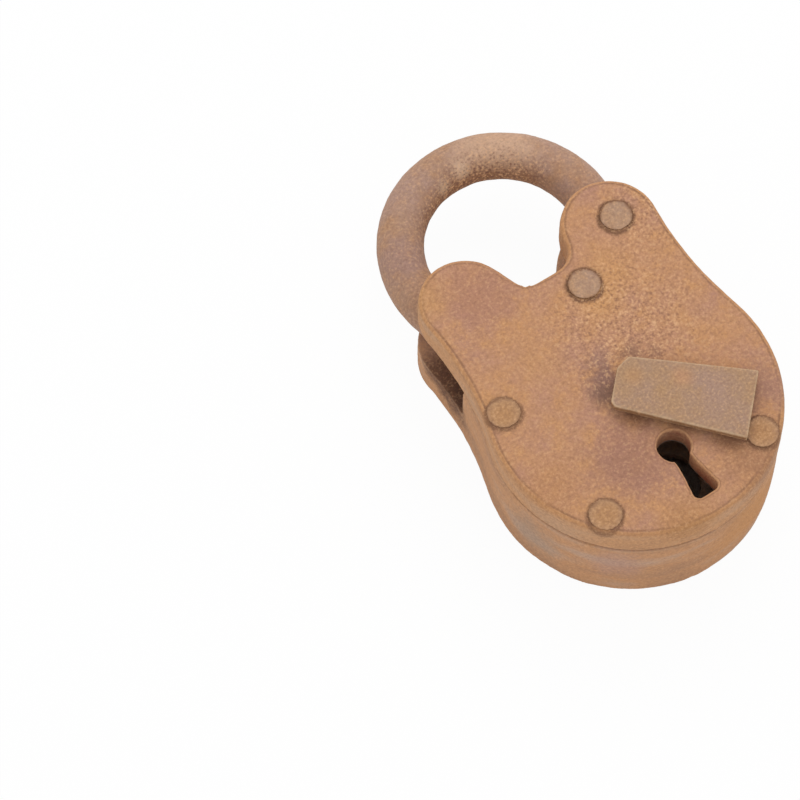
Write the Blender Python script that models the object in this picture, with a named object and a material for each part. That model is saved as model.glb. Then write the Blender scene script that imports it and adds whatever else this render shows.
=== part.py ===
"""Old cast-iron padlock with a hinged round shackle and a swinging keyhole drop.

The lock lies on its back: +Z comes out of the front cover, +Y points to the shackle, and the
origin is the centre of the round body on the back face. A warded bolt slides inside the case.
"""
import math

import bmesh
import bpy

for old in list(bpy.data.objects):
    bpy.data.objects.remove(old, do_unlink=True)

MM = 0.001
SMOOTH_ANGLE = math.radians(35)

# Outline of the two castings: a round body, an ear on the right, a lobe on the left, hollow
# flanks, and a notch with one straight side. Insets and rises are counted from the side and
# the top of the body, and the notch's places from the centres of the ear and the lobe.
BODY_R = 32.0 * MM
EAR_R = 11.0 * MM
EAR_INSET = 13.0 * MM
EAR_RISE = 4.9 * MM
LOBE_R = 10.45 * MM
LOBE_INSET = 14.65 * MM
LOBE_RISE = 6.1 * MM
RIGHT_FLANK_R = 78.0 * MM
LEFT_FLANK_R = 66.0 * MM
NOTCH_RISE = 2.0 * MM
NOTCH_CORNER_RIGHT = 12.75 * MM
NOTCH_FILLET_R = 5.1 * MM
NOTCH_FILLET_LEFT = 15.9 * MM

# Thicknesses of the castings, from the back face up
REAR_EAR = 10.2 * MM
SHACKLE_D = 11.0 * MM
SHACKLE_PLAY = 0.45 * MM
COVER_EDGE = 8.4 * MM
COVER_FACE = 6.3 * MM
CASE_FLOOR = 3.5 * MM
CASE_WALL = 4.5 * MM
CROSS_WALL = 4.0 * MM
THROAT_DEPTH = 10.0 * MM
FRONT_ROUND = 1.4 * MM
BACK_ROUND = 1.0 * MM
SEAM_CHAMFER = 0.5 * MM

# Clearances
SEAT = 0.2 * MM
SEAM = 0.3 * MM
HOLE_PLAY = 0.3 * MM
RUN = 0.35 * MM

# Rivets that hold the cover on the case, and the bosses around them
RIVET_R = 2.0 * MM
RIVET_HEAD_R = 3.8 * MM
RIVET_HEAD_H = 0.7 * MM
RIVET_HEAD_ROUND = 0.6 * MM
RIVET_TAIL_R = 3.0 * MM
RIVET_TAIL_RIM = 0.4 * MM
RIVET_TAIL_H = 1.4 * MM
RIVET_SINK = 0.3 * MM
BOSS_R = 3.7 * MM
NOTCH_BOSS_R = 4.2 * MM
RIVET_INSET = 4.2 * MM
RIM_BEARINGS = {"left_rivet": 154.6, "lower_left_rivet": 223.1, "lower_right_rivet": 310.0}
NOTCH_RIVET_RIGHT = 2.95 * MM
NOTCH_RIVET_DOWN = 6.3 * MM
PIVOT_RIGHT = 2.0 * MM
PIVOT_UP = 0.75 * MM

# Shackle: a round rod bent to an arc, with an eye on the ear rivet and a notched straight toe
BOW_RISE = 13.9 * MM
BOW_OUT = 4.12 * MM
EYE_R = 8.2 * MM
EYE_CHAMFER = 1.0 * MM
TOE_BEND = 4.8 * MM
TOE_CLEAR = 3.5 * MM
TOE_ROUND = 1.2 * MM

# Keyhole and key
KEY_X = 0.6 * MM
KEY_UP = 18.2 * MM
KEYHOLE_R = 3.5 * MM
KEYHOLE_NECK = 3.5 * MM
KEYHOLE_NECK_DOWN = 6.0 * MM
KEYHOLE_FLARE = 5.75 * MM
KEYHOLE_CORNER = 1.1 * MM
KEYHOLE_L = 12.7 * MM
BIT_R = 8.8 * MM
KEY_TIP_R = 3.0 * MM
KEY_TIP_DEPTH = 1.5 * MM

# Drop: a tapered plate on a stud that is riveted over inside the cover
DROP_ABOVE_KEY = 15.4 * MM
DROP_NARROW = 12.4 * MM
DROP_WIDE = 16.2 * MM
DROP_BEHIND = 4.0 * MM
DROP_AHEAD = 25.6 * MM
DROP_CLIP_ACROSS = 3.1 * MM
DROP_CLIP_ALONG = 2.0 * MM
DROP_NICK = 1.1 * MM
DROP_T = 2.0 * MM
DROP_EDGE = 0.36 * MM
DROP_LIFT = 1.25 * MM
DROP_COLLAR_R = 3.4 * MM
DROP_STUD_R = 2.2 * MM
DROP_HEAD_R = 3.6 * MM
DROP_HEAD_H = 1.3 * MM
DROP_HEAD_ROUND = 0.6 * MM
DROP_OPEN = math.radians(46.2)

# Bolt: a cranked plate that slides across the case into the notch of the toe
BOLT_T = 3.6 * MM
BOLT_THROW = 5.5 * MM
BOLT_LEFT = -14.0 * MM
BOLT_RIGHT = 14.0 * MM
BOLT_BELOW = 8.0 * MM
BOLT_ARM_W = 6.0 * MM
BOLT_ARM_GAP = 0.8 * MM
NOSE_H = 3.4 * MM
NOSE_UP = 4.0 * MM
NOSE_GAP = 0.6 * MM
NOSE_PLAY = 0.4 * MM
TALON_W = 7.2 * MM
TALON_DEPTH = 3.2 * MM
TALON_GAP = 0.8 * MM

# Posts that guide the bolt, and the leaf spring that bears on its upper edge
STUD_R = 1.8 * MM
STUD_FOOT_R = 3.0 * MM
STUD_HEAD_R = 3.2 * MM
STUD_HEAD_H = 1.2 * MM
STUD_DOWN = 7.0 * MM
STUD_LEFT_X = -9.0 * MM
STUD_RIGHT_X = 4.0 * MM
TENON_R = 1.2 * MM
TENON_H = 1.6 * MM
SPRING_WALL = 4.2 * MM
SPRING_UP = 4.0 * MM
SPRING_POST_R = 1.6 * MM
SPRING_T = 0.8 * MM
SPRING_ARM_GAP = 2.5 * MM
SPRING_TIP = 3.4 * MM

# Ward plate that the middle of the key's bit turns in
WARD_Z = 9.0 * MM
WARD_T = 1.5 * MM
WARD_R = 11.4 * MM
WARD_HOLE_R = 7.0 * MM
WARD_SLOT_W = 4.4 * MM
WARD_LUG_R = 3.2 * MM
PILLAR_OUT = 12.8 * MM
PILLAR_UP = 2.0 * MM
PILLAR_R = 2.0 * MM

# Heights and places that follow from the sizes above
EAR_X = BODY_R - EAR_INSET
EAR_Y = BODY_R + EAR_RISE
LOBE_X = LOBE_INSET - BODY_R
LOBE_Y = BODY_R + LOBE_RISE
NOTCH_Y = BODY_R + NOTCH_RISE
NOTCH_CORNER_X = LOBE_X + NOTCH_CORNER_RIGHT
NOTCH_FILLET_X = EAR_X - NOTCH_FILLET_LEFT
THROAT_Y = NOTCH_Y - THROAT_DEPTH
PIVOT_X = EAR_X + PIVOT_RIGHT
PIVOT_Y = EAR_Y + PIVOT_UP
BOW_X = (EAR_X + LOBE_X) / 2
BOW_R = (EAR_X - LOBE_X) / 2 + BOW_OUT
BOW_Y = EAR_Y + BOW_RISE
TOE_START_Y = BOW_Y - TOE_BEND
TOE_TIP_Y = THROAT_Y + TOE_CLEAR
NOSE_Y = TOE_TIP_Y + NOSE_UP
KEY_Y = KEY_UP - BODY_R
KEYHOLE_END_Y = KEY_Y - KEYHOLE_L
DROP_Y = KEY_Y + DROP_ABOVE_KEY
PILLAR_Y = KEY_Y + PILLAR_UP
RIVETS = {
    "ear_rivet": (PIVOT_X, PIVOT_Y),
    "notch_rivet": (NOTCH_FILLET_X + NOTCH_RIVET_RIGHT, NOTCH_Y - NOTCH_RIVET_DOWN),
}
for rim_rivet, degrees in RIM_BEARINGS.items():
    rim_angle = math.radians(degrees)
    rim_r = BODY_R - RIVET_INSET
    RIVETS[rim_rivet] = (rim_r * math.cos(rim_angle), rim_r * math.sin(rim_angle))
COVER_BACK = REAR_EAR + SHACKLE_D + 2 * SHACKLE_PLAY
FRONT = COVER_BACK + COVER_EDGE
CASE_TOP = COVER_BACK - SEAM
MID_Z = (REAR_EAR + COVER_BACK) / 2
COVER_INNER = FRONT - COVER_FACE
CAVITY_R = BODY_R - CASE_WALL
CAVITY_TOP = THROAT_Y - CROSS_WALL
BOLT_TOP = CAVITY_TOP - BOLT_BELOW
STUD_Y = BOLT_TOP - STUD_DOWN
SPRING_Y = BOLT_TOP + SPRING_UP
SPRING_X = math.sqrt((CAVITY_R - SPRING_WALL) ** 2 - SPRING_Y ** 2)
BOLT_Z0 = MID_Z - BOLT_T / 2
BOLT_Z1 = MID_Z + BOLT_T / 2
BEYOND = 1.0 * MM


def arc(centre, radius, start, end, steps, close=False):
    """Points on an arc from one angle to another, without the last one unless it is closed."""
    count = steps + 1 if close else steps
    turn = (end - start) / steps
    return [
        (centre[0] + radius * math.cos(start + turn * i),
         centre[1] + radius * math.sin(start + turn * i))
        for i in range(count)
    ]


def bearing(start, end):
    """Angle of the direction from one point to another."""
    return math.atan2(end[1] - start[1], end[0] - start[0])


def meeting(c0, r0, c1, r1, side):
    """Point where two circles meet, left (side 1) or right (side -1) of the line c0 to c1."""
    gap = math.hypot(c1[0] - c0[0], c1[1] - c0[1])
    along = (gap * gap + r0 * r0 - r1 * r1) / (2 * gap)
    across = side * math.sqrt(max(r0 * r0 - along * along, 0.0))
    ux = (c1[0] - c0[0]) / gap
    uy = (c1[1] - c0[1]) / gap
    return (c0[0] + ux * along - uy * across, c0[1] + uy * along + ux * across)


def notch_side():
    """Bearing, from the lobe's centre, of the point where the notch's straight side begins."""
    lobe = (LOBE_X, LOBE_Y)
    corner = (NOTCH_CORNER_X, NOTCH_Y)
    return bearing(lobe, corner) + math.acos(LOBE_R / math.dist(lobe, corner))


def casting_outline(inset=0.0):
    """Outline of a casting, moved inwards: body, right flank, ear, notch, lobe, left flank."""
    body = (0.0, 0.0)
    ear = (EAR_X, EAR_Y)
    lobe = (LOBE_X, LOBE_Y)
    right = meeting(body, BODY_R + RIGHT_FLANK_R, ear, EAR_R + RIGHT_FLANK_R, -1)
    left = meeting(body, BODY_R + LEFT_FLANK_R, lobe, LOBE_R + LEFT_FLANK_R, 1)
    fillet = (NOTCH_FILLET_X, NOTCH_Y + NOTCH_FILLET_R)
    cusp = meeting(fillet, NOTCH_FILLET_R + inset, ear, EAR_R - inset, 1)
    side = notch_side()
    floor_y = NOTCH_Y - inset
    rise = math.sin(side) * (floor_y - LOBE_Y)
    corner_x = LOBE_X + (LOBE_R - inset - rise) / math.cos(side)
    turn = 2 * math.pi
    points = arc(body, BODY_R - inset, bearing(body, left), bearing(body, right) + turn, 52)
    points += arc(right, RIGHT_FLANK_R + inset, bearing(right, body) + turn, bearing(right, ear), 8)
    points += arc(ear, EAR_R - inset, bearing(ear, right), bearing(ear, cusp), 22)
    points += arc(fillet, NOTCH_FILLET_R + inset, bearing(fillet, cusp), -math.pi / 2, 7, close=True)
    points.append((corner_x, floor_y))
    points += arc(lobe, LOBE_R - inset, side, bearing(lobe, left) % turn, 22)
    points += arc(left, LEFT_FLANK_R + inset, bearing(left, lobe), bearing(left, body), 8)
    return points


def cavity_outline():
    """Outline of the hollow in the castings: the body circle inside the wall, cut off at the top."""
    edge = math.asin(CAVITY_TOP / CAVITY_R)
    return arc((0.0, 0.0), CAVITY_R, math.pi - edge, 2 * math.pi + edge, 44, close=True)


def quarter_round(radius, steps):
    """Pairs of inset and distance from the face over a rounded edge, ending on the face."""
    angles = [math.pi / 2 * i / steps for i in range(steps + 1)]
    return [(radius * (1 - math.cos(a)), radius * (1 - math.sin(a))) for a in angles]


def rectangle(x0, y0, x1, y1):
    return [(x0, y0), (x1, y0), (x1, y1), (x0, y1)]


def circle(x, y, radius, steps):
    return arc((x, y), radius, 0.0, 2 * math.pi, steps)


def material(name, colour, roughness, metallic):
    """Principled material with one colour."""
    made = bpy.data.materials.new(name)
    made.use_nodes = True
    shader = made.node_tree.nodes["Principled BSDF"]
    shader.inputs["Base Color"].default_value = (*colour, 1.0)
    shader.inputs["Roughness"].default_value = roughness
    shader.inputs["Metallic"].default_value = metallic
    return made


def place(name, mesh, look, location=(0.0, 0.0, 0.0)):
    """Object with a mesh and a material, shaded smooth over its rounds."""
    mesh.shade_smooth()
    mesh.set_sharp_from_angle(angle=SMOOTH_ANGLE)
    if look:
        mesh.materials.append(look)
    made = bpy.data.objects.new(name, mesh)
    made.location = location
    bpy.context.collection.objects.link(made)
    return made


def lofted(name, rings, look=None, location=(0.0, 0.0, 0.0)):
    """Closed body through rings of 3-D points, each with as many points as the next."""
    shape = bmesh.new()
    loops = [[shape.verts.new(point) for point in ring] for ring in rings]
    for low, high in zip(loops, loops[1:]):
        for i in range(len(low)):
            j = (i + 1) % len(low)
            shape.faces.new((low[i], low[j], high[j], high[i]))
    shape.faces.new(list(reversed(loops[0])))
    shape.faces.new(loops[-1])
    bmesh.ops.recalc_face_normals(shape, faces=shape.faces)
    mesh = bpy.data.meshes.new(name)
    shape.to_mesh(mesh)
    shape.free()
    return place(name, mesh, look, location)


def level(points, z):
    """The same outline at one height."""
    return [(x, y, z) for x, y in points]


def prism(name, points, z0, z1, look=None, location=(0.0, 0.0, 0.0)):
    return lofted(name, [level(points, z0), level(points, z1)], look, location)


def turned(name, x, y, profile, look=None, steps=28):
    """Body turned about a vertical axis through x, y, from (radius, height) pairs going up."""
    rings = [level(circle(0.0, 0.0, radius, steps), z) for radius, z in profile]
    return lofted(name, rings, look, (x, y, 0.0))


def combine(body, tool, operation):
    """Live Boolean on a body, with its tool kept as a hidden wire guide."""
    tool.hide_render = True
    tool.display_type = 'WIRE'
    change = body.modifiers.new(tool.name, 'BOOLEAN')
    change.object = tool
    change.operation = operation
    change.solver = 'EXACT'


def cut(body, tool):
    combine(body, tool, 'DIFFERENCE')


def fuse(body, tool):
    combine(body, tool, 'UNION')


def rivet_shank(play=0.0, past=0.0):
    """Countersunk tail and shank of a rivet. Play and past make it the tool for its hole."""
    return [
        (RIVET_TAIL_R + play, RIVET_SINK - past),
        (RIVET_TAIL_R + play, RIVET_SINK + RIVET_TAIL_RIM),
        (RIVET_R + play, RIVET_SINK + RIVET_TAIL_H),
        (RIVET_R + play, FRONT + SEAT + past),
    ]


def rivet_hole(name, x, y):
    return turned(name, x, y, rivet_shank(HOLE_PLAY, BEYOND), steps=24)


def boss(name, x, y, radius, z0, z1):
    return prism(name, circle(0.0, 0.0, radius, 24), z0, z1, location=(x, y, 0.0))


def rear_case(look):
    """Deep rear casting: back plate, side wall up to the seam, cross wall and rivet bosses."""
    rings = [level(casting_outline(inset), z) for inset, z in reversed(quarter_round(BACK_ROUND, 2))]
    rings.append(level(casting_outline(), CASE_TOP - SEAM_CHAMFER))
    rings.append(level(casting_outline(SEAM_CHAMFER), CASE_TOP))
    body = lofted("rear_case", rings, look)
    cut(body, prism("case_cavity", cavity_outline(), CASE_FLOOR, CASE_TOP + BEYOND))
    reach = BODY_R * 3
    throat = rectangle(-reach, THROAT_Y, reach, reach)
    cut(body, prism("throat_space", throat, REAR_EAR, CASE_TOP + BEYOND))
    for name, (x, y) in RIVETS.items():
        if name == "notch_rivet":
            fuse(body, boss(name + "_boss", x, y, NOTCH_BOSS_R, REAR_EAR - BEYOND, CASE_TOP))
        elif name in RIM_BEARINGS:
            fuse(body, boss(name + "_boss", x, y, BOSS_R, CASE_FLOOR - BEYOND, CASE_TOP))
    slot_left = arm_left() - BOLT_THROW - RUN
    slot_right = arm_right() + RUN
    slot = rectangle(slot_left, CAVITY_TOP - BEYOND, slot_right, THROAT_Y + BEYOND)
    cut(body, prism("arm_slot", slot, BOLT_Z0 - RUN, CASE_TOP + BEYOND))
    for name, (x, y) in RIVETS.items():
        cut(body, rivet_hole(name + "_case_hole", x, y))
    key_tip = circle(KEY_X, KEY_Y, KEY_TIP_R, 24)
    cut(body, prism("key_tip_hole", key_tip, CASE_FLOOR - KEY_TIP_DEPTH, CASE_FLOOR + BEYOND))
    for name, x, y in posts():
        tenon = circle(x, y, TENON_R + HOLE_PLAY, 16)
        cut(body, prism(name + "_hole", tenon, CASE_FLOOR - TENON_H - SEAT, CASE_FLOOR + BEYOND))
    return body


def keyhole_outline():
    """Keyhole: a round top, a narrow neck and a flared foot with round corners."""
    half_neck = KEYHOLE_NECK / 2
    corner_x = KEYHOLE_FLARE / 2 - KEYHOLE_CORNER
    corner_y = KEYHOLE_END_Y + KEYHOLE_CORNER
    opening = math.asin(half_neck / KEYHOLE_R)
    down = -math.pi / 2
    neck_y = KEY_Y - KEYHOLE_NECK_DOWN
    turn = 2 * math.pi
    points = arc((KEY_X, KEY_Y), KEYHOLE_R, down + opening, down + turn - opening, 26, close=True)
    points.append((KEY_X - half_neck, neck_y))
    points += arc((KEY_X - corner_x, corner_y), KEYHOLE_CORNER, math.pi, down + turn, 4, close=True)
    points += arc((KEY_X + corner_x, corner_y), KEYHOLE_CORNER, down, 0.0, 4, close=True)
    points.append((KEY_X + half_neck, neck_y))
    return points


def front_cover(look):
    """Front casting: a plate with a rounded edge, hollow behind the body, with the keyhole."""
    rings = [
        level(casting_outline(SEAM_CHAMFER), COVER_BACK),
        level(casting_outline(), COVER_BACK + SEAM_CHAMFER),
    ]
    for inset, below in quarter_round(FRONT_ROUND, 3):
        rings.append(level(casting_outline(inset), FRONT - below))
    body = lofted("front_cover", rings, look)
    cut(body, prism("cover_hollow", cavity_outline(), COVER_BACK - BEYOND, COVER_INNER))
    for name, (x, y) in RIVETS.items():
        if name in RIM_BEARINGS:
            fuse(body, boss(name + "_pad", x, y, BOSS_R, COVER_BACK, COVER_INNER + BEYOND))
    for name, (x, y) in RIVETS.items():
        cut(body, rivet_hole(name + "_cover_hole", x, y))
    cut(body, prism("keyhole", keyhole_outline(), COVER_BACK - BEYOND, FRONT + BEYOND))
    stud = circle(KEY_X, DROP_Y, DROP_STUD_R + RUN, 24)
    cut(body, prism("drop_stud_hole", stud, COVER_BACK - BEYOND, FRONT + BEYOND))
    return body


def rivet(name, x, y, look):
    """Rivet with a countersunk tail, a plain shank and a low, worn head."""
    head_top = FRONT + SEAT + RIVET_HEAD_H
    profile = rivet_shank()
    profile.append((RIVET_HEAD_R, FRONT + SEAT))
    for inset, below in quarter_round(RIVET_HEAD_ROUND, 2):
        profile.append((RIVET_HEAD_R - inset, head_top - below))
    return turned(name, x, y, profile, look)


def toe_line():
    """Start, direction and length of the straight toe, tangent to the bow."""
    start = math.pi - math.asin((TOE_START_Y - BOW_Y) / BOW_R)
    x = BOW_X + BOW_R * math.cos(start)
    slope = (-math.sin(start), math.cos(start))
    length = (TOE_START_Y - TOE_TIP_Y) / -slope[1]
    return start, (x, TOE_START_Y), slope, length


def toe_x(y):
    """Middle of the toe at a height along the lock."""
    _, start, slope, _ = toe_line()
    return start[0] + slope[0] * (y - start[1]) / slope[1]


def rod_ring(x, y, slope, radius):
    """Round section across the rod, at a point of its middle line."""
    side = (slope[1], -slope[0])
    steps = 20
    ring = []
    for i in range(steps):
        angle = 2 * math.pi * i / steps
        out = radius * math.cos(angle)
        ring.append((x + side[0] * out - PIVOT_X, y + side[1] * out - PIVOT_Y,
                     MID_Z + radius * math.sin(angle)))
    return ring


def shackle(look):
    """Round rod bent to an arc, fused with the eye on the ear rivet and notched at the toe."""
    rod_r = SHACKLE_D / 2
    heel = math.atan2(PIVOT_Y - BOW_Y, PIVOT_X - BOW_X)
    toe_angle, toe_at, slope, length = toe_line()
    rings = []
    steps = 40
    for i in range(steps + 1):
        angle = heel + (toe_angle - heel) * i / steps
        x = BOW_X + BOW_R * math.cos(angle)
        y = BOW_Y + BOW_R * math.sin(angle)
        rings.append(rod_ring(x, y, (-math.sin(angle), math.cos(angle)), rod_r))
    for inset, before in quarter_round(TOE_ROUND, 3):
        x = toe_at[0] + slope[0] * (length - before)
        y = toe_at[1] + slope[1] * (length - before)
        rings.append(rod_ring(x, y, slope, rod_r - inset))
    body = lofted("shackle", rings, look, (PIVOT_X, PIVOT_Y, 0.0))
    flat = MID_Z - rod_r
    top = MID_Z + rod_r
    narrow = EYE_R - EYE_CHAMFER
    disc = [(narrow, flat), (EYE_R, flat + EYE_CHAMFER), (EYE_R, top - EYE_CHAMFER), (narrow, top)]
    fuse(body, turned("eye_disc", PIVOT_X, PIVOT_Y, disc, steps=32))
    hole = circle(PIVOT_X, PIVOT_Y, RIVET_R + RUN, 24)
    cut(body, prism("eye_hole", hole, flat - BEYOND, top + BEYOND))
    half = NOSE_H / 2 + NOSE_PLAY
    notch_left = nose_tip() - BOLT_THROW - NOSE_GAP
    notch_right = toe_x(NOSE_Y) + SHACKLE_D
    notch = rectangle(notch_left, NOSE_Y - half, notch_right, NOSE_Y + half)
    cut(body, prism("toe_notch", notch, flat - BEYOND, top + BEYOND))
    return body


def drop_outline():
    """Tapered plate hanging down from its stud, with clipped corners at the narrow end."""
    half_top = DROP_NARROW / 2
    half_end = DROP_WIDE / 2
    return [
        (-half_end, -DROP_AHEAD),
        (half_end, -DROP_AHEAD),
        (half_top, DROP_BEHIND - DROP_CLIP_ALONG),
        (half_top - DROP_CLIP_ACROSS, DROP_BEHIND),
        (DROP_NICK - half_top, DROP_BEHIND),
        (-half_top, DROP_BEHIND - DROP_NICK),
    ]


def key_drop(look):
    """Swinging cover of the keyhole: plate, collar, stud and the head riveted over inside."""
    low = FRONT + DROP_LIFT
    body = prism("key_drop", drop_outline(), low, low + DROP_T, look, (KEY_X, DROP_Y, 0.0))
    body.rotation_euler = (0.0, 0.0, DROP_OPEN)
    round_edge = body.modifiers.new("worn_edges", 'BEVEL')
    round_edge.width = DROP_EDGE
    round_edge.segments = 2
    round_edge.limit_method = 'ANGLE'
    head = COVER_INNER - SEAT
    profile = []
    for inset, above in reversed(quarter_round(DROP_HEAD_ROUND, 2)):
        profile.append((DROP_HEAD_R - inset, head - DROP_HEAD_H + above))
    profile += [
        (DROP_HEAD_R, head),
        (DROP_STUD_R, head),
        (DROP_STUD_R, FRONT + SEAT),
        (DROP_COLLAR_R, FRONT + SEAT),
        (DROP_COLLAR_R, low + DROP_T / 2),
    ]
    fuse(body, turned("drop_stud", KEY_X, DROP_Y, profile, steps=24))
    return body


def nose_tip():
    """Where the bolt's nose ends when it is drawn back from the toe."""
    _, _, slope, _ = toe_line()
    return toe_x(NOSE_Y) + SHACKLE_D / 2 / -slope[1] + NOSE_GAP


def arm_right():
    return RIVETS["notch_rivet"][0] - NOTCH_BOSS_R - BOLT_ARM_GAP


def arm_left():
    return arm_right() - BOLT_ARM_W


def lock_bolt(look):
    """Cranked bolt: a tail plate with the key's talon and two slots, an arm and a nose."""
    low = KEY_Y + BIT_R + TALON_GAP - TALON_DEPTH
    talon_left = KEY_X + (BOLT_THROW - TALON_W) / 2
    talon_right = talon_left + TALON_W
    talon_top = low + TALON_DEPTH
    nose_low = NOSE_Y - NOSE_H / 2
    nose_high = NOSE_Y + NOSE_H / 2
    points = [
        (BOLT_LEFT, low), (talon_left, low), (talon_left, talon_top),
        (talon_right, talon_top), (talon_right, low), (BOLT_RIGHT, low),
        (BOLT_RIGHT, BOLT_TOP), (arm_right(), BOLT_TOP), (arm_right(), nose_high),
        (nose_tip(), nose_high), (nose_tip(), nose_low), (arm_left(), nose_low),
        (arm_left(), BOLT_TOP), (BOLT_LEFT, BOLT_TOP),
    ]
    body = prism("lock_bolt", points, BOLT_Z0, BOLT_Z1, look)
    radius = STUD_R + RUN
    for name, x in (("left_slot", STUD_LEFT_X), ("right_slot", STUD_RIGHT_X)):
        slot = arc((x, STUD_Y), radius, math.pi / 2, math.pi * 1.5, 10, close=True)
        slot += arc((x + BOLT_THROW, STUD_Y), radius, -math.pi / 2, math.pi / 2, 10, close=True)
        cut(body, prism(name, slot, BOLT_Z0 - BEYOND, BOLT_Z1 + BEYOND))
    return body


def posts():
    """Name and place of every post that is riveted into the case floor."""
    return [
        ("bolt_stud_left", STUD_LEFT_X, STUD_Y),
        ("bolt_stud_right", STUD_RIGHT_X, STUD_Y),
        ("spring_stud", SPRING_X, SPRING_Y),
        ("ward_pillar_left", KEY_X - PILLAR_OUT, PILLAR_Y),
        ("ward_pillar_right", KEY_X + PILLAR_OUT, PILLAR_Y),
    ]


def foot(radius):
    """Tenon in the floor and the shoulder that stands on it."""
    return [(TENON_R, CASE_FLOOR - TENON_H), (TENON_R, CASE_FLOOR + SEAT), (radius, CASE_FLOOR + SEAT)]


def bolt_stud(name, x, y, look):
    return turned(name, x, y, foot(STUD_FOOT_R) + [
        (STUD_FOOT_R, BOLT_Z0 - SEAT), (STUD_R, BOLT_Z0 - SEAT), (STUD_R, BOLT_Z1 + SEAT),
        (STUD_HEAD_R, BOLT_Z1 + SEAT), (STUD_HEAD_R, BOLT_Z1 + SEAT + STUD_HEAD_H)], look, steps=20)


def spring_stud(name, x, y, look):
    return turned(name, x, y, foot(STUD_FOOT_R) + [
        (STUD_FOOT_R, BOLT_Z0 - SEAT), (SPRING_POST_R, BOLT_Z0 - SEAT), (SPRING_POST_R, BOLT_Z1 + SEAT)],
        look, steps=20)


def bolt_spring(look):
    """Leaf spring: wrapped round its post, then bent down onto the bolt's upper edge."""
    wrap_r = SPRING_POST_R + HOLE_PLAY + SPRING_T / 2
    middle = arc((SPRING_X, SPRING_Y), wrap_r, math.pi, -math.pi / 2, 18, close=True)
    touch_y = BOLT_TOP + SEAT + SPRING_T / 2
    start_y = SPRING_Y - wrap_r
    end_x = arm_right() + SPRING_ARM_GAP
    touch_x = end_x + SPRING_TIP
    steps = 12
    for i in range(1, steps + 1):
        x = SPRING_X + (end_x - SPRING_X) * i / steps
        share = (x - touch_x) / (SPRING_X - touch_x)
        middle.append((x, touch_y + (start_y - touch_y) * share * share))
    left = []
    right = []
    for i, (x, y) in enumerate(middle):
        before = middle[max(i - 1, 0)]
        after = middle[min(i + 1, len(middle) - 1)]
        run = bearing(before, after)
        out_x = math.sin(run) * SPRING_T / 2
        out_y = math.cos(run) * SPRING_T / 2
        left.append((x - out_x, y + out_y))
        right.append((x + out_x, y - out_y))
    return prism("bolt_spring", left + right[::-1], BOLT_Z0, BOLT_Z1, look)


def ward_plate(look):
    """Round plate on two pillars, with the hole and slot that the key's bit passes."""
    top = WARD_Z + WARD_T
    body = prism("ward_plate", circle(KEY_X, KEY_Y, WARD_R, 40), WARD_Z, top, look)
    for name, side in (("left_lug", -1), ("right_lug", 1)):
        lug = circle(KEY_X + side * PILLAR_OUT, PILLAR_Y, WARD_LUG_R, 20)
        fuse(body, prism(name, lug, WARD_Z, top))
    hole = circle(KEY_X, KEY_Y, WARD_HOLE_R, 32)
    cut(body, prism("ward_hole", hole, WARD_Z - BEYOND, top + BEYOND))
    half = WARD_SLOT_W / 2
    slot = rectangle(KEY_X - half, KEY_Y - BIT_R - TALON_GAP, KEY_X + half, KEY_Y)
    cut(body, prism("ward_slot", slot, WARD_Z - BEYOND, top + BEYOND))
    for name, side in (("left_tenon_hole", -1), ("right_tenon_hole", 1)):
        tenon = circle(KEY_X + side * PILLAR_OUT, PILLAR_Y, TENON_R + HOLE_PLAY, 16)
        cut(body, prism(name, tenon, WARD_Z - BEYOND, top + BEYOND))
    return body


def ward_pillar(name, x, y, look):
    return turned(name, x, y, foot(PILLAR_R) + [
        (PILLAR_R, WARD_Z - SEAT), (TENON_R, WARD_Z - SEAT), (TENON_R, WARD_Z + WARD_T)], look, steps=20)


cast_rust = material("cast_iron_rust", (0.45, 0.26, 0.15), 0.9, 0.1)
cover_rust = material("cover_rust", (0.50, 0.28, 0.16), 0.9, 0.1)
rod_rust = material("shackle_rust", (0.41, 0.26, 0.17), 0.8, 0.2)
drop_rust = material("drop_rust", (0.41, 0.27, 0.17), 0.85, 0.15)
rivet_rust = material("rivet_rust", (0.43, 0.28, 0.17), 0.85, 0.15)
inner_iron = material("inner_iron", (0.09, 0.07, 0.06), 0.7, 0.6)
spring_steel = material("spring_steel", (0.14, 0.12, 0.11), 0.5, 0.8)

rear_case(cast_rust)
front_cover(cover_rust)
shackle(rod_rust)
key_drop(drop_rust)
for rivet_name, (rivet_x, rivet_y) in RIVETS.items():
    rivet(rivet_name, rivet_x, rivet_y, rivet_rust)
lock_bolt(inner_iron)
bolt_spring(spring_steel)
ward_plate(inner_iron)
for post_name, post_x, post_y in posts():
    if post_name.startswith("bolt_stud"):
        bolt_stud(post_name, post_x, post_y, inner_iron)
    elif post_name == "spring_stud":
        spring_stud(post_name, post_x, post_y, inner_iron)
    else:
        ward_pillar(post_name, post_x, post_y, inner_iron)
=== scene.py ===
"""Looks of an old rusted iron padlock, lying on its back on a plain pale floor."""
import math

import bmesh
import bpy
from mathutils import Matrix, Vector
from mathutils.kdtree import KDTree


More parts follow.
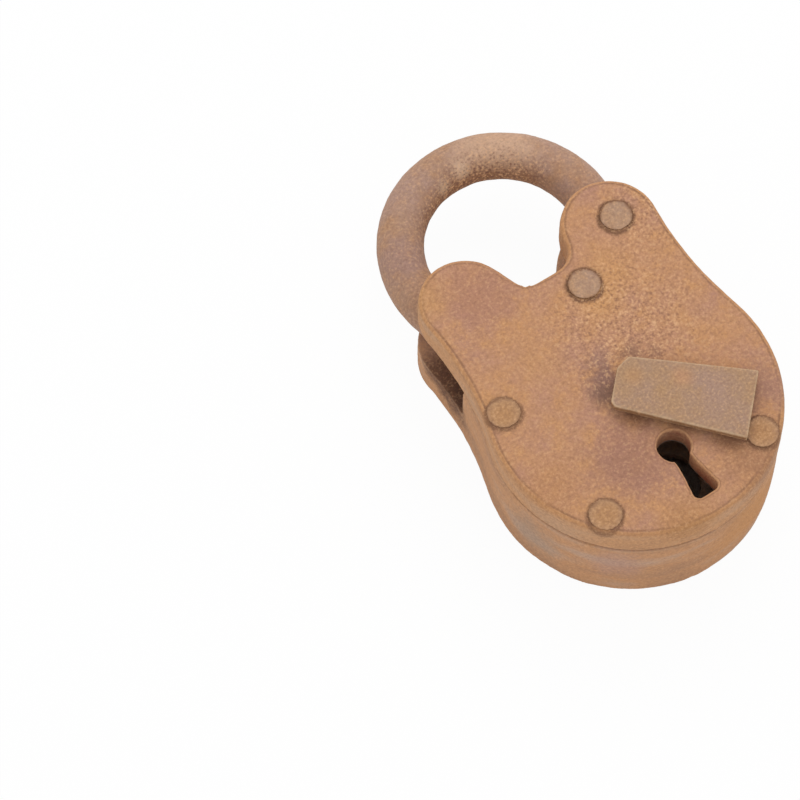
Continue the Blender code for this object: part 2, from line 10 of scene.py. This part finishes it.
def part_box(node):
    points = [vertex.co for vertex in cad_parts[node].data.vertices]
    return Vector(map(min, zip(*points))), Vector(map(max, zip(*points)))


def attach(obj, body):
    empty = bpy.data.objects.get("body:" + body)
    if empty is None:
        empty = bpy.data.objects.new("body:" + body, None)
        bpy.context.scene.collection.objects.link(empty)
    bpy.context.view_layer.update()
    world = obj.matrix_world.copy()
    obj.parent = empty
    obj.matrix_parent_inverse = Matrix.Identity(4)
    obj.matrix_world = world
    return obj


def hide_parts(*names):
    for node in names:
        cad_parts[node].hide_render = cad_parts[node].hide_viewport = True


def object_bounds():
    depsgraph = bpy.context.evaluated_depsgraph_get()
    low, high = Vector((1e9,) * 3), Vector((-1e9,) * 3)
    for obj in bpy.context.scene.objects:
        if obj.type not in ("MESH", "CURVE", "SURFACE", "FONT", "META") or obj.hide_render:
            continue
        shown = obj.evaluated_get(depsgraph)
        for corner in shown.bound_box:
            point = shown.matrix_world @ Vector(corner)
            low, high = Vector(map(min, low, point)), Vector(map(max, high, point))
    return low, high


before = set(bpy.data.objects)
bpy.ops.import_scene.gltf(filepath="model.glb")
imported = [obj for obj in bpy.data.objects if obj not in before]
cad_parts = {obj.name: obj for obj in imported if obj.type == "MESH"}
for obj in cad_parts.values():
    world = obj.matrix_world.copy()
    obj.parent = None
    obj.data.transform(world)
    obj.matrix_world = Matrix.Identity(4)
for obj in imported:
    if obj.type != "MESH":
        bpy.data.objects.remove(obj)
cad_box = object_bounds()
scene = bpy.context.scene
bpy.ops.object.select_all(action='DESELECT')

MM = 0.001

# Camera
# The lock is seen from in front and above, from its lower left, through a long lens.
bpy.ops.object.camera_add(location=(-235.5 * MM, -271.9 * MM, 792.9 * MM),
                          rotation=(math.radians(25.0), 0.0, math.radians(-33.018)))
camera = bpy.context.object
camera.name = "camera"
camera.data.sensor_width = 36.0
camera.data.lens = 180.0
camera.data.clip_start = 0.05
camera.data.clip_end = 20.0
scene.camera = camera
scene.view_settings.view_transform = 'Standard'


# Rear casting
# The deep half of the body: sand-cast iron, the back plate and side wall in one, with the rear
# halves of both ears. It is rusted all over, so its edges are blunt and its skin is uneven.
def merged_copy(name, node):
    """Own mesh of a CAD node, with its loose triangles merged where their corners meet."""
    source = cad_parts[node]
    bpy.ops.object.select_all(action='DESELECT')
    piece = source.copy()
    piece.data = source.data.copy()
    piece.name = name
    piece.data.name = name
    bpy.context.collection.objects.link(piece)
    piece.parent = None
    piece.select_set(True)
    bpy.context.view_layer.objects.active = piece
    bpy.ops.object.mode_set(mode='EDIT')
    bpy.ops.mesh.select_all(action='SELECT')
    bpy.ops.mesh.remove_doubles(threshold=0.002 * MM)
    bpy.ops.mesh.select_all(action='DESELECT')
    bpy.ops.object.mode_set(mode='OBJECT')
    piece.data.materials.clear()
    return piece


def applied(piece, kind, **settings):
    """Adds a modifier with its settings and applies it."""
    bpy.ops.object.select_all(action='DESELECT')
    piece.select_set(True)
    bpy.context.view_layer.objects.active = piece
    change = piece.modifiers.new(kind.lower(), kind)
    for name, value in settings.items():
        setattr(change, name, value)
    bpy.ops.object.modifier_apply(modifier=change.name)


def corroded(piece, grid, smoothing, lumps):
    """Even mesh of cell size grid, blunted edges, then lumps and pits, each (size, depth).

    The lumps and pits only go inwards, so the piece stays inside its CAD solid. Two attributes are
    kept for the rust: from_edge, the millimetres to the nearest outer sharp edge, and slope, which
    is 1 where the surface faces the front and 0 on a wall.
    """
    # An edge that bends less is a facet of a round surface
    sharp = math.radians(34)
    # Between the points that stand for the sharp edges
    spacing = 0.25 * MM
    shape = bmesh.new()
    shape.from_mesh(piece.data)
    crease = shape.edges.layers.float.new("crease_edge")
    points = []
    for edge in shape.edges:
        bend = edge.calc_face_angle_signed(0.0)
        if abs(bend) > sharp:
            edge[crease] = 1.0
        if bend > sharp:
            a, b = (vertex.co for vertex in edge.verts)
            steps = math.ceil((b - a).length / spacing)
            points += [a.lerp(b, i / steps) for i in range(steps + 1)]
    shape.to_mesh(piece.data)
    shape.free()
    edges = KDTree(len(points))
    for i, point in enumerate(points):
        edges.insert(point, i)
    edges.balance()

    applied(piece, 'SUBSURF', levels=2, render_levels=2)
    applied(piece, 'REMESH', mode='VOXEL', voxel_size=grid)
    applied(piece, 'SMOOTH', factor=0.5, iterations=smoothing)
    mesh = piece.data
    near = mesh.attributes.new("from_edge", 'FLOAT', 'POINT')
    near.data.foreach_set("value", [edges.find(vertex.co)[2] / MM for vertex in mesh.vertices])
    slope = mesh.attributes.new("slope", 'FLOAT', 'POINT')
    slope.data.foreach_set("value", [vertex.normal.z for vertex in mesh.vertices])
    for i, (size, depth) in enumerate(lumps):
        skin = bpy.data.textures.new("%s_skin_%d" % (piece.name, i), 'CLOUDS')
        skin.noise_scale = size
        skin.noise_depth = 2
        applied(piece, 'DISPLACE', texture=skin, texture_coords='LOCAL', strength=depth, mid_level=1.0)
    for vertex in piece.data.vertices:
        vertex.co.z = max(vertex.co.z, cad_box[0][2])
    bpy.ops.object.shade_smooth()


def srgb(text):
    """Linear colour of an sRGB hex value."""
    parts = [int(text[i:i + 2], 16) / 255 for i in (1, 3, 5)]
    return [p / 12.92 if p <= 0.04045 else ((p + 0.055) / 1.055) ** 2.4 for p in parts] + [1.0]


def add(tree, kind, inputs=(), **settings):
    """Node with its settings. Each input is (socket, a value or the output that feeds it)."""
    node = tree.nodes.new("ShaderNode" + kind)
    for name, value in settings.items():
        setattr(node, name, value)
    for socket, value in inputs:
        if isinstance(value, bpy.types.NodeSocket):
            tree.links.new(value, node.inputs[socket])
        else:
            node.inputs[socket].default_value = value
    return node


def rusted_iron(name, plain, bloom, stain, scale, worn_and_highlight=None, rim=None, side=None, streaks=None,
                spots=(), rings=(), hollow=None, flecks=(), lively=0.35, speckle=0.5, dull=0.92,
                pit=0.10):
    """Iron under dry, powdery rust, with little or no shine.

    Tones, as sRGB hex: plain rust, its ochre bloom, its mauve stain, the dark scale in joints, the
    paler edges, worn and on the drop also a painted highlight, the rounded rim, the side walls, and
    the pale and the dark streaks on them.
    Places, in millimetres: spots are (x, y, z, reach, tone, strength), rings of dark scale and
    painted shade round rivet heads are (x, y, z, radius, strength), hollow is (radius, lowest z,
    highest z, tone) of the space inside, and flecks of flaked skin, on the rod also painted glints,
    are (x, y, z, reach, strength).
    Shares: lively is the strength of the loose grains and speckle that of the finest grain, dull
    is the roughness, and pit is the depth of the pits in millimetres.
    """
    made = bpy.data.materials.new(name)
    made.use_nodes = True
    tree = made.node_tree
    shader = tree.nodes["Principled BSDF"]
    shader.inputs["Metallic"].default_value = 0.0
    shader.inputs["Roughness"].default_value = dull
    shader.inputs["Specular IOR Level"].default_value = 0.25
    place = add(tree, "TexCoord").outputs["Object"]
    mm = add(tree, "Mapping", [("Vector", place), ("Scale", (1 / MM,) * 3)]).outputs["Vector"]

    # Blotches about 15 mm and 6 mm across, and grains under 1 mm that fray the blotches' edges.
    # The smaller ones, frayed, have a mean value of 0.75.
    broad, patch, grain = (
        add(tree, "TexNoise", [("Vector", mm), ("Scale", 1 / across), ("Detail", detail),
                               ("Roughness", roughness)]).outputs["Fac"]
        for across, detail, roughness in ((15, 4.0, 0.55), (6, 6.0, 0.65), (0.7, 3.0, 0.75)))
    broad_frayed, frayed = (
        add(tree, "Math", [(0, grain), (1, amount), (2, blotch)],
            operation='MULTIPLY_ADD').outputs["Value"]
        for blotch, amount in ((broad, 0.6), (patch, 0.5)))
    usual = 0.75
    colour = srgb(plain)
    for blotch, full, tone in ((broad_frayed, 0.96, stain), (frayed, 0.94, bloom)):
        mask = add(tree, "MapRange", [("Value", blotch), ("From Min", 0.68), ("From Max", full),
                                      ("To Max", 0.75)])
        colour = add(tree, "Mix", [(0, mask.outputs["Result"]), (6, colour), (7, srgb(tone))],
                     data_type='RGBA').outputs[2]

    # Rounded rim, with a broken brown line along its inner side
    slope = add(tree, "Attribute", attribute_name="slope").outputs["Fac"]
    if rim:
        turned = add(tree, "MapRange", [("Value", slope), ("From Min", 0.985), ("From Max", 0.90),
                                        ("To Max", 0.75)])
        colour = add(tree, "Mix", [(0, turned.outputs["Result"]), (6, colour), (7, srgb(rim))],
                     data_type='RGBA').outputs[2]
        line = patch
        for start, end in ((0.996, 0.985), (0.93, 0.965)):
            bound = add(tree, "MapRange", [("Value", slope), ("From Min", start), ("From Max", end)])
            line = add(tree, "Math", [(0, bound.outputs["Result"]), (1, line)],
                       operation='MULTIPLY').outputs["Value"]
        colour = add(tree, "Mix", [(0, line), (6, colour), (7, srgb(scale))],
                     data_type='RGBA').outputs[2]

    # Side walls, and the marks along them, 8 mm wide and four times as long
    if side:
        turned = add(tree, "MapRange", [("Value", slope), ("From Min", 0.62), ("From Max", 0.25),
                                        ("To Max", 0.9)])
        colour = add(tree, "Mix", [(0, turned.outputs["Result"]), (6, colour), (7, srgb(side))],
                     data_type='RGBA').outputs[2]
    if streaks:
        drawn = add(tree, "Mapping", [("Vector", place),
                                      ("Scale", (1 / (32 * MM), 1 / (32 * MM), 1 / (8 * MM)))])
        marks = add(tree, "TexNoise", [("Vector", drawn.outputs["Vector"]), ("Scale", 1.0),
                                       ("Detail", 3.0), ("Roughness", 0.5)])
        for tone, start, full in ((streaks[0], 0.50, 0.64), (streaks[1], 0.50, 0.36)):
            mask = add(tree, "MapRange", [("Value", marks.outputs["Fac"]), ("From Min", start),
                                          ("From Max", full), ("To Max", 0.6)])
            walls = add(tree, "MapRange", [("Value", slope), ("From Min", 0.62), ("From Max", 0.25),
                                           ("To Max", mask.outputs["Result"])])
            colour = add(tree, "Mix", [(0, walls.outputs["Result"]), (6, colour), (7, srgb(tone))],
                         data_type='RGBA').outputs[2]

    # Spots with frayed edges, full up to 0.15 of their reach and gone at 0.9 of it
    for x, y, z, reach, tone, strength in spots:
        away = add(tree, "VectorMath", [(0, mm), (1, (x, y, z))], operation='DISTANCE')
        ragged = add(tree, "Math", [(0, frayed), (1, reach), (2, away.outputs["Value"])],
                     operation='MULTIPLY_ADD')
        mask = add(tree, "MapRange", [("Value", ragged.outputs["Value"]),
                                      ("From Min", reach * (usual + 0.15)),
                                      ("From Max", reach * (usual + 0.9)),
                                      ("To Min", strength), ("To Max", 0.0)],
                   interpolation_type='SMOOTHSTEP')
        colour = add(tree, "Mix", [(0, mask.outputs["Result"]), (6, colour), (7, srgb(tone))],
                     data_type='RGBA').outputs[2]

    # Dark scale in the joint round each rivet head, together with painted shade there: a line that
    # wavers about the head's radius and is up to 1.5 mm wide
    waver = 2.0
    for x, y, z, radius, strength in rings:
        away = add(tree, "VectorMath", [(0, mm), (1, (x, y, z))], operation='DISTANCE')
        ragged = add(tree, "Math", [(0, frayed), (1, waver), (2, away.outputs["Value"])],
                     operation='MULTIPLY_ADD')
        beyond = add(tree, "Math", [(0, ragged.outputs["Value"]), (1, radius + waver * usual)],
                     operation='SUBTRACT')
        off = add(tree, "Math", [(0, beyond.outputs["Value"])], operation='ABSOLUTE')
        mask = add(tree, "MapRange", [("Value", off.outputs["Value"]), ("From Min", 0.1),
                                      ("From Max", 0.75), ("To Min", strength), ("To Max", 0.0)])
        colour = add(tree, "Mix", [(0, mask.outputs["Result"]), (6, colour), (7, srgb(scale))],
                     data_type='RGBA').outputs[2]

    # Paler edges up to about half a millimetre wide, where rubbing has kept the rust thin; on the
    # drop they also stand in for a painted highlight along its edges
    if worn_and_highlight:
        fray = 1.6
        near = add(tree, "Attribute", attribute_name="from_edge").outputs["Fac"]
        ragged = add(tree, "Math", [(0, frayed), (1, fray), (2, near)], operation='MULTIPLY_ADD')
        mask = add(tree, "MapRange", [("Value", ragged.outputs["Value"]),
                                      ("From Min", fray * usual - 0.05),
                                      ("From Max", fray * usual + 0.55),
                                      ("To Min", 0.75), ("To Max", 0.0)])
        colour = add(tree, "Mix", [(0, mask.outputs["Result"]), (6, colour), (7, srgb(worn_and_highlight))],
                     data_type='RGBA').outputs[2]

    # Greyer skin in the space inside, a round one about the middle of the body
    if hollow:
        radius, low, high, tone = hollow
        parts = add(tree, "SeparateXYZ", [("Vector", mm)]).outputs
        flat = add(tree, "CombineXYZ", [("X", parts["X"]), ("Y", parts["Y"])]).outputs["Vector"]
        away = add(tree, "VectorMath", [(0, flat)], operation='LENGTH').outputs["Value"]
        inside = 1.0
        for measure, limit, test in ((away, radius, 'LESS_THAN'), (parts["Z"], low, 'GREATER_THAN'),
                                     (parts["Z"], high, 'LESS_THAN')):
            held = add(tree, "Math", [(0, measure), (1, limit)], operation=test).outputs["Value"]
            inside = add(tree, "Math", [(0, inside), (1, held)], operation='MULTIPLY').outputs["Value"]
        colour = add(tree, "Mix", [(0, inside), (6, colour), (7, srgb(tone))],
                     data_type='RGBA').outputs[2]

    # Loose grains, pale orange and brown, thicker where the skin flakes; on the rod's inner side
    # the pale grains also stand in for painted glints
    speck = add(tree, "TexNoise", [("Vector", mm), ("Scale", 1 / 0.6), ("Detail", 1.0),
                                   ("Roughness", 0.6)])
    share = lively
    for x, y, z, reach, strength in flecks:
        away = add(tree, "VectorMath", [(0, mm), (1, (x, y, z))], operation='DISTANCE')
        mask = add(tree, "MapRange", [("Value", away.outputs["Value"]), ("From Min", reach * 0.3),
                                      ("From Max", reach), ("To Min", strength), ("To Max", 0.0)])
        share = add(tree, "Math", [(0, mask.outputs["Result"]), (1, share)],
                    operation='ADD').outputs["Value"]
    for tone, start, full in (("#DDAF85", 0.53, 0.72), ("#8B6552", 0.47, 0.28)):
        mask = add(tree, "MapRange", [("Value", speck.outputs["Fac"]), ("From Min", start),
                                      ("From Max", full), ("To Max", share)])
        colour = add(tree, "Mix", [(0, mask.outputs["Result"]), (6, colour), (7, srgb(tone))],
                     data_type='RGBA', clamp_factor=True).outputs[2]

    # Finest grain, lighter and darker about the same mean
    sway = add(tree, "Math", [(0, grain), (1, 0.5)], operation='SUBTRACT')
    light = add(tree, "Math", [(0, sway.outputs["Value"]), (1, speckle), (2, 1.0)],
                operation='MULTIPLY_ADD')
    grained = add(tree, "HueSaturation", [("Color", colour), ("Value", light.outputs["Value"])])
    tree.links.new(grained.outputs["Color"], shader.inputs["Base Color"])

    # Relief: a skin of dust 0.35 mm across on the pits of the grain
    dust = add(tree, "TexNoise", [("Vector", mm), ("Scale", 1 / 0.35), ("Detail", 2.0),
                                  ("Roughness", 0.6)])
    rough = add(tree, "Bump", [("Height", dust.outputs["Fac"]), ("Strength", 0.3),
                               ("Distance", 0.10 * MM)])
    pitted = add(tree, "Bump", [("Height", grain), ("Normal", rough.outputs["Normal"]),
                                ("Strength", 0.5), ("Distance", pit * MM)])
    tree.links.new(pitted.outputs["Normal"], shader.inputs["Normal"])
    return made


case = merged_copy("case_casting", "rear_case")
corroded(case, grid=0.5 * MM, smoothing=4, lumps=[(9 * MM, 0.35 * MM), (2.4 * MM, 0.16 * MM)])
# Cast iron: the sand's coarse skin under brown rust, greyer than the front
case.data.materials.append(rusted_iron(
    "weathered_cast_iron", "#B58B6B", "#BD8D60", "#AC8778", "#75543F", worn_and_highlight="#C7A080", side="#C4926A",
    streaks=("#BBA190", "#A68066"),
    spots=[
        # Wall: grey at the left, orange at the bottom, mauve between them
        (-31.0, -8.0, 12.0, 12.0, "#A58D7A", 0.6),
        (12.0, -31.0, 12.0, 18.0, "#C58D57", 0.7),
        (-20.0, -24.0, 14.0, 9.0, "#B58F80", 0.6),
        # Painted shade: dark brown in the throat
        (-23.5, 28.5, 11.0, 12.0, "#5B4033", 1.0),
        (-26.5, 34.5, 11.5, 9.0, "#664737", 0.9),
    ],
    hollow=(28.6, 3.0, 23.0, "#A09085"), lively=0.25))
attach(case, "case")
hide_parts("rear_case")


# Front cover
# The flat front casting with the keyhole, riveted onto the rear half. Its face is dry orange-tan
# rust with mauve patches, and its rim is worn round.
cover = merged_copy("cover_casting", "front_cover")
corroded(cover, grid=0.42 * MM, smoothing=4, lumps=[(11 * MM, 0.25 * MM), (2.0 * MM, 0.12 * MM)])
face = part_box("front_cover")[1][2] / MM
# The dark ring round each rivet head is dark scale with painted shade: it lies a little to the
# head's lower left, away from the lamp, and is darkest round the two rivets at the top
top_rivets = ("ear_rivet", "notch_rivet")
rim_rivets = ("left_rivet", "lower_left_rivet", "lower_right_rivet")
heads = []
for node in top_rivets + rim_rivets:
    low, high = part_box(node)
    heads.append(((low[0] + high[0]) / 2 / MM - 0.15, (low[1] + high[1]) / 2 / MM - 0.25, face,
                  (high[0] - low[0]) / 2 / MM, 1.0 if node in top_rivets else 0.75))
# Cast iron: orange rust, flaked between the drop and the ear
cover.data.materials.append(rusted_iron(
    "weathered_cover_iron", "#BD8C69", "#C49060", "#B18472", "#7E5A42", worn_and_highlight="#C99C74",
    rim="#C08D60", side="#C4936A", streaks=("#BB987C", "#A67F62"),
    spots=[
        # Yellower round the notch rivet, on the lobe and down the left side
        (11.6, 28.0, face, 9.0, "#C99560", 0.6),
        (6.4, 22.9, face, 8.0, "#C9955F", 0.6),
        (-24.1, 42.7, face, 8.0, "#BE8E60", 0.6),
        (-11.7, 18.2, face, 9.0, "#C29062", 0.5),
        # Browner near the rim, at the left and the bottom
        (-26.0, -8.0, face, 10.0, "#B88559", 0.55),
        (-6.6, -30.0, face, 10.0, "#B08054", 0.6),
        # Mauve on the lobe, left of the keyhole and at the right, brown at the lower right
        (-13.6, 37.0, face, 13.0, "#AC7D67", 0.75),
        (-9.0, -12.0, face, 15.0, "#A07461", 0.75),
        (24.8, -12.5, face, 10.0, "#A67C6A", 0.75),
        (14.0, -26.0, face, 13.0, "#A37658", 0.7),
        # Rust stain together with the drop's painted shadow: dark round its upper end, brown along its
        # lower side
        (-1.5, 10.6, face, 5.5, "#9C786C", 0.7),
        (-3.4, 7.0, face, 6.5, "#8C6A60", 0.85),
        (-4.4, 3.2, face, 5.5, "#7E5F52", 0.85),
        (4.9, 8.9, face, 4.0, "#906C5A", 0.7),
        (9.5, 6.2, face, 3.0, "#906C5A", 0.5),
        (-2.0, -3.6, face, 5.0, "#8C6044", 0.8),
        (4.5, -10.5, face, 5.0, "#8E6347", 0.7),
        (11.0, -18.5, face, 5.0, "#8E6347", 0.7),
        # Painted shade inside the keyhole: red-brown on its walls, darker than the face
        (0.6, -14.0, face - 4.0, 7.0, "#A8624C", 0.9),
        (0.6, -23.0, face - 4.0, 6.6, "#A8624C", 0.9),
    ],
    rings=heads, hollow=(28.6, 21.0, 25.2, "#96867A"),
    flecks=[(8.0, 15.0, face, 20.0, 0.45), (26.0, 35.0, face, 12.0, 0.35)],
    lively=0.3, speckle=0.6))
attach(cover, "case")
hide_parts("front_cover")


# Shackle
# A round wrought rod bent to a bow, hinged on the ear rivet. The rust on it is thinner and
# mauve-brown, and flakes along its inner side, where painted glints and painted shade are added.
bow = merged_copy("shackle_rod", "shackle")
corroded(bow, grid=0.4 * MM, smoothing=5, lumps=[(7 * MM, 0.30 * MM), (1.6 * MM, 0.14 * MM)])
# Along the inner side of the bow, in millimetres
inner_side = [(-9.5, 62.0), (-5.4, 65.1), (-1.5, 67.6), (2.6, 68.8), (7.2, 68.3), (11.5, 66.0),
              (15.0, 61.5)]
# Wrought iron: thin mauve-brown rust, with a little more shine than the castings
bow.data.materials.append(rusted_iron(
    "rusted_wrought_rod", "#AB8770", "#B08460", "#A8887C", "#7B5A47", worn_and_highlight="#C8A994",
    spots=[
        # A painted highlight, pale, on the crown; brown down the left limb; painted shade, dark, at
        # the toe
        (12.0, 70.0, 23.0, 14.0, "#CDA88C", 0.7),
        (-20.5, 45.0, 18.0, 9.0, "#A17A5D", 0.6),
        (-21.6, 59.0, 20.0, 9.0, "#9D7C72", 0.6),
        (-25.0, 33.0, 17.0, 6.0, "#6F5140", 0.85),
        # Orange-brown rust along the inner side, darkened there as painted shade, with painted glints
        # as pale spots
        *((x, y, 15.5, 6.5, "#9B6B45", 0.7) for x, y in inner_side),
        (2.5, 70.4, 19.0, 3.6, "#E2C0A2", 0.75),
        (-3.0, 68.6, 18.5, 3.0, "#DDBC9E", 0.6),
        (9.0, 69.4, 18.5, 2.6, "#D9B799", 0.5),
    ],
    # Flakes along the inner side, whose pale grains also stand in for painted glints
    flecks=[(x, y, 17.0, 6.5, 0.55) for x, y in inner_side], lively=0.3, speckle=0.7, dull=0.72))
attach(bow, "shackle")
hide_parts("shackle")


# Keyhole drop
# A tapered forged plate on a stud that is riveted over inside the cover. It is greyer than the
# casting, and its edges are crisp.
drop = merged_copy("drop_plate", "key_drop")
corroded(drop, grid=0.24 * MM, smoothing=2, lumps=[(6 * MM, 0.12 * MM), (1.6 * MM, 0.06 * MM)])
drop_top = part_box("key_drop")[1][2] / MM
# Forged iron: smooth grey-tan rust, browner on the sides as rust with painted shade, pale along
# the edges, worn and with a painted highlight
drop.data.materials.append(rusted_iron(
    "rusted_forged_plate", "#A9886D", "#AF8963", "#A68777", "#85603F", worn_and_highlight="#D0B38F", side="#8E6846",
    spots=[
        (9.9, -2.7, drop_top, 4.0, "#C08E68", 0.6),
        (1.6, 3.0, drop_top, 3.5, "#B98C62", 0.6),
        (14.0, -9.0, drop_top, 7.0, "#A88878", 0.5),
    ],
    pit=0.07))
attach(drop, "drop")
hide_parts("key_drop")


# Rivets
# Five soft iron rivets hold the halves together. Their low heads were hammered flat and have
# rusted to the same grey-tan as the drop, browner on the three along the rim.
rivet_iron = rusted_iron(
    "rusted_rivet_iron", "#B08D72", "#B78C66", "#A88A7A", "#7A563E",
    spots=[(x, y, z, 6.5, "#B4865C", 0.9) for x, y, z, *_ in heads[len(top_rivets):]],
    # The same dark rings of scale and painted shade reach onto the heads' edges
    rings=heads, speckle=0.6, pit=0.07)
# What stands out above the seat keeps this share of its height
seat = (face + 0.1) * MM
flattened = 0.4
for node in top_rivets + rim_rivets:
    rivet = merged_copy(node + "_worn", node)
    corroded(rivet, grid=0.22 * MM, smoothing=5, lumps=[(2.8 * MM, 0.28 * MM), (1.1 * MM, 0.08 * MM)])
    for vertex in rivet.data.vertices:
        if vertex.co.z > seat:
            vertex.co.z = seat + (vertex.co.z - seat) * flattened
    rivet.data.materials.append(rivet_iron)
    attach(rivet, "case")
    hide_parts(node)


# Works inside the case
# Bolt, studs, leaf spring and ward plate, seen only through the keyhole and the throat. All are
# iron, under brown rust like the castings'.
works_iron = rusted_iron("stained_inner_iron", "#B29076", "#B8916B", "#A48B7D", "#7A6150")
for node in ("lock_bolt", "bolt_stud_left", "bolt_stud_right", "bolt_spring", "spring_stud",
             "ward_plate", "ward_pillar_left", "ward_pillar_right"):
    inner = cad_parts[node]
    inner.data.materials.clear()
    inner.data.materials.append(works_iron)


# Floor
# A plain white table top. The camera sees it almost white, with the lock's soft shadow on it.
bpy.ops.mesh.primitive_grid_add(x_subdivisions=8, y_subdivisions=8, size=6.0,
                                location=(0.0, 0.0, cad_box[0][2] - 0.1 * MM))
floor = bpy.context.object
floor.name = "floor"
# White paint: the camera and reflections see it mostly as an even glow, the rest of the light as
# matt paint
paint = bpy.data.materials.new("white_paint")
paint.use_nodes = True
sheet = paint.node_tree
matt = sheet.nodes["Principled BSDF"]
matt.inputs["Base Color"].default_value = srgb("#F4F4F4")
matt.inputs["Roughness"].default_value = 0.9
rays = add(sheet, "LightPath").outputs
seen = rays["Is Camera Ray"]
for kind in ("Is Glossy Ray", "Is Transmission Ray"):
    seen = add(sheet, "Math", [(0, seen), (1, rays[kind])], operation='MAXIMUM').outputs["Value"]
share = add(sheet, "Math", [(0, seen), (1, 0.95)], operation='MULTIPLY').outputs["Value"]
white = add(sheet, "Emission", [("Strength", 1.0)]).outputs["Emission"]
tint = add(sheet, "MixShader", [("Fac", share), (1, matt.outputs["BSDF"]), (2, white)])
sheet.links.new(tint.outputs["Shader"], sheet.nodes["Material Output"].inputs["Surface"])
floor.data.materials.append(paint)


# Light
# A bright even room, and one broad soft lamp from the upper right.
world = bpy.data.worlds.new("studio")
scene.world = world
world.use_nodes = True
room = world.node_tree.nodes["Background"]
room.inputs["Color"].default_value = (1.0, 1.0, 1.0, 1.0)
room.inputs["Strength"].default_value = 0.84

bpy.ops.object.light_add(type='AREA', location=(0.35, 0.45, 0.75))
lamp = bpy.context.object
lamp.name = "broad_lamp"
lamp.data.shape = 'DISK'
lamp.data.size = 0.6
lamp.data.energy = 2.2
lock_front = Vector((0.0, 0.0, 0.03))
lamp.rotation_euler = (lamp.location - lock_front).to_track_quat('Z', 'Y').to_euler()
